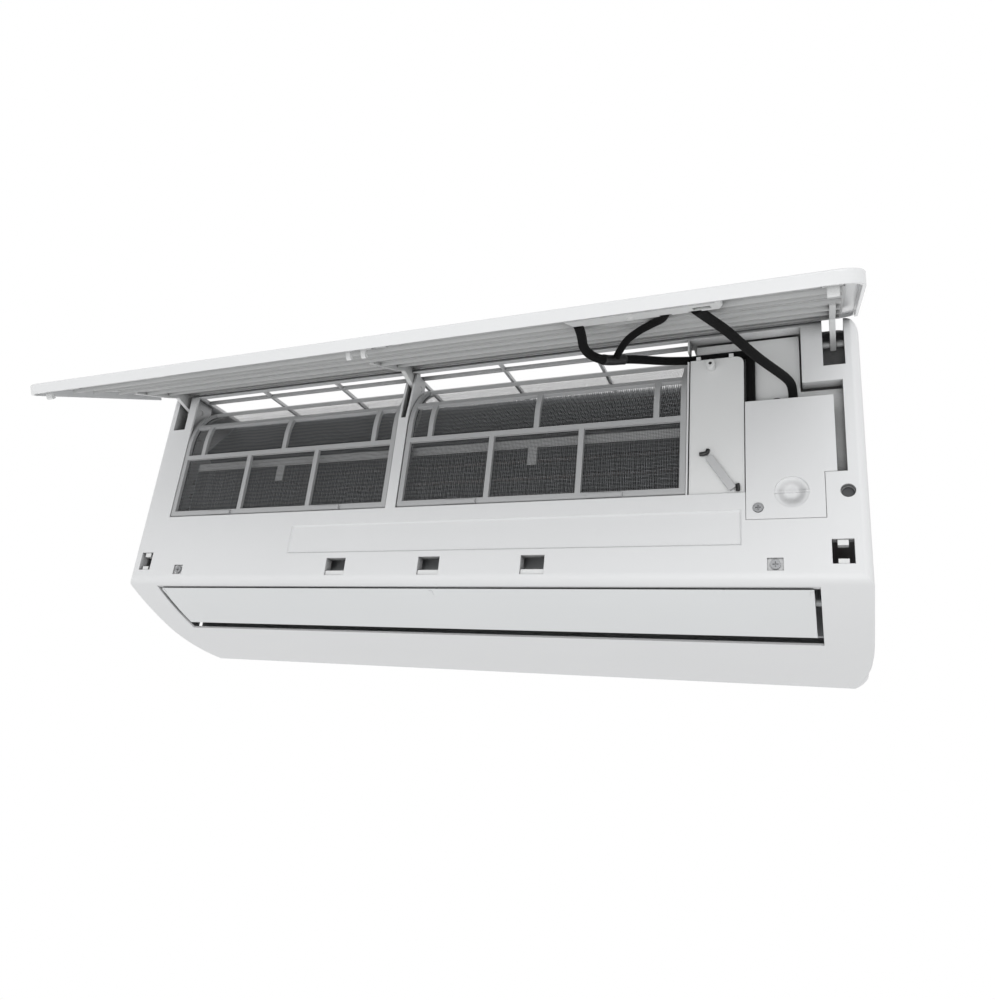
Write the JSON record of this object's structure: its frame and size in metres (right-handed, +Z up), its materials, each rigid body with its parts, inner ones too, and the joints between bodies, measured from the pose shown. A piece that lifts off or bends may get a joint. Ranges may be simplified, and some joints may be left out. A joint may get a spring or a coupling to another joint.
{
  "type": "mini split indoor unit",
  "caption": "Wall-mounted indoor unit of a split air conditioner with its hinged front panel lifted to show filters, cables and electrical covers.",
  "frame": {"origin": "centre of the wall plate's back face, on the wall", "axes": "+X along the unit to the right of someone facing it, +Y into the wall, +Z up"},
  "size_m": [0.802, 0.3732, 0.3209],
  "materials": {
    "body_white": "satin",
    "panel_white": "gloss",
    "inner_white": "matte",
    "louvre_white": "satin",
    "filter_frame_plastic": "matte",
    "filter_mesh": "woven",
    "chassis_grey": "matte",
    "galvanised_steel": "spangled",
    "fin_aluminium": "brushed",
    "copper": "bright",
    "union_brass": "bright",
    "fan_black": "matte",
    "motor_resin": "matte",
    "vane_black": "matte",
    "steel": "bright",
    "seal_grey": "matte",
    "board_green": "satin",
    "terminal_black": "matte",
    "sleeve_black": "braided",
    "sensor_grey": "matte"
  },
  "bodies": {
    "casing": {"mounting_plate": "galvanised_steel", "rear_chassis": "chassis_grey", "front_frame": "body_white", "intake_grille": "body_white", "drain_pan": "chassis_grey", "evaporator_fins": "fin_aluminium", "evaporator_end_plates": "galvanised_steel", "evaporator_return_bends": "copper", "coil_seal_strip": "seal_grey", "fan_bearing": "terminal_black", "fan_motor": "motor_resin", "motor_cover": "chassis_grey", "liquid_pipe": "copper", "liquid_flare_union": "union_brass", "gas_pipe": "copper", "gas_flare_union": "union_brass", "pipe_clamp": "inner_white", "electrical_box": "inner_white", "control_cover": "inner_white", "terminal_cover": "body_white", "circuit_board": "board_green", "terminal_block": "terminal_black", "cover_screw": "steel", "frame_screws": "steel", "latch_catches": "inner_white", "room_sensor": "sensor_grey", "sensor_lead": "sleeve_black", "harness_fixed": "sleeve_black", "harness_plugs": "terminal_black", "harness_loop": "sleeve_black", "harness_branch": "sleeve_black", "harness_lead": "sleeve_black", "louvre_motor": "motor_resin", "vane_holder_left": "chassis_grey", "vane_holder_right": "chassis_grey"},
    "front_panel": {"panel_shell": "panel_white", "panel_inner_frame": "inner_white", "panel_latch_hooks": "inner_white", "panel_hinge_arms": "inner_white", "display_holder": "inner_white", "display_board": "board_green"},
    "louvre_flap": {"louvre": "louvre_white"},
    "fan": {"fan_drum": "fan_black", "fan_shaft": "steel"},
    "run_button": {"manual_button": "inner_white"},
    "left_filter": {"filter_frame_left": "filter_frame_plastic", "filter_mesh_left": "filter_mesh"},
    "left_vane_1": {"vane_left_1": "vane_black"},
    "left_vane_2": {"vane_left_2": "vane_black"},
    "left_vane_3": {"vane_left_3": "vane_black"},
    "left_vane_4": {"vane_left_4": "vane_black"},
    "left_link": {"vane_link_left": "vane_black"},
    "right_filter": {"filter_frame_right": "filter_frame_plastic", "filter_mesh_right": "filter_mesh"},
    "right_vane_1": {"vane_right_1": "vane_black"},
    "right_vane_2": {"vane_right_2": "vane_black"},
    "right_vane_3": {"vane_right_3": "vane_black"},
    "right_vane_4": {"vane_right_4": "vane_black"},
    "right_link": {"vane_link_right": "vane_black"}
  },
  "joints": [
    {"name": "panel_hinge", "type": "hinge", "parent": "casing", "child": "front_panel", "pos_m": [0, -0.16, 0.132], "axis": [1, 0, 0], "range_deg": [0, 65], "deforming": ["harness_loop", "harness_branch", "harness_lead"]},
    {"name": "louvre_hinge", "type": "hinge", "parent": "casing", "child": "louvre_flap", "pos_m": [0, -0.128, -0.102], "axis": [1, 0, 0], "range_deg": [0, 78]},
    {"name": "fan_spin", "type": "hinge", "parent": "casing", "child": "fan", "pos_m": [0, -0.082, -0.01], "axis": [1, 0, 0], "continuous": true},
    {"name": "button_press", "type": "slide", "parent": "casing", "child": "run_button", "axis": [0, 1, 0], "range_m": [0, 0.0015], "stiffness_N_per_m": 400},
    {"name": "left_filter_slide", "type": "slide", "parent": "casing", "child": "left_filter", "axis": [0, -0.95, -0.3122], "range_m": [0, 0.15]},
    {"name": "left_vane_1_turn", "type": "hinge", "parent": "casing", "child": "left_vane_1", "pos_m": [-0.039, -0.092, -0.074], "axis": [0, -0.7193, 0.6947], "range_deg": [-30, 30]},
    {"name": "left_vane_2_turn", "type": "hinge", "parent": "casing", "child": "left_vane_2", "pos_m": [-0.117, -0.092, -0.074], "axis": [0, -0.7193, 0.6947], "range_deg": [-30, 30]},
    {"name": "left_vane_3_turn", "type": "hinge", "parent": "casing", "child": "left_vane_3", "pos_m": [-0.195, -0.092, -0.074], "axis": [0, -0.7193, 0.6947], "range_deg": [-30, 30]},
    {"name": "left_vane_4_turn", "type": "hinge", "parent": "casing", "child": "left_vane_4", "pos_m": [-0.273, -0.092, -0.074], "axis": [0, -0.7193, 0.6947], "range_deg": [-30, 30]},
    {"name": "left_link_slide", "type": "slide", "parent": "casing", "child": "left_link", "axis": [1, 0, 0], "range_m": [-0.0056, 0.0056]},
    {"name": "right_filter_slide", "type": "slide", "parent": "casing", "child": "right_filter", "axis": [0, -0.95, -0.3122], "range_m": [0, 0.15]},
    {"name": "right_vane_1_turn", "type": "hinge", "parent": "casing", "child": "right_vane_1", "pos_m": [0.039, -0.092, -0.074], "axis": [0, -0.7193, 0.6947], "range_deg": [-30, 30]},
    {"name": "right_vane_2_turn", "type": "hinge", "parent": "casing", "child": "right_vane_2", "pos_m": [0.117, -0.092, -0.074], "axis": [0, -0.7193, 0.6947], "range_deg": [-30, 30]},
    {"name": "right_vane_3_turn", "type": "hinge", "parent": "casing", "child": "right_vane_3", "pos_m": [0.195, -0.092, -0.074], "axis": [0, -0.7193, 0.6947], "range_deg": [-30, 30]},
    {"name": "right_vane_4_turn", "type": "hinge", "parent": "casing", "child": "right_vane_4", "pos_m": [0.273, -0.092, -0.074], "axis": [0, -0.7193, 0.6947], "range_deg": [-30, 30]},
    {"name": "right_link_slide", "type": "slide", "parent": "casing", "child": "right_link", "axis": [1, 0, 0], "range_m": [-0.0056, 0.0056]}
  ],
  "couplings": [
    {"joint": "left_vane_1_turn", "follows": "left_link_slide", "rad_per_m": 90},
    {"joint": "left_vane_2_turn", "follows": "left_link_slide", "rad_per_m": 90},
    {"joint": "left_vane_3_turn", "follows": "left_link_slide", "rad_per_m": 90},
    {"joint": "left_vane_4_turn", "follows": "left_link_slide", "rad_per_m": 90},
    {"joint": "right_vane_1_turn", "follows": "right_link_slide", "rad_per_m": 90},
    {"joint": "right_vane_2_turn", "follows": "right_link_slide", "rad_per_m": 90},
    {"joint": "right_vane_3_turn", "follows": "right_link_slide", "rad_per_m": 90},
    {"joint": "right_vane_4_turn", "follows": "right_link_slide", "rad_per_m": 90}
  ]
}
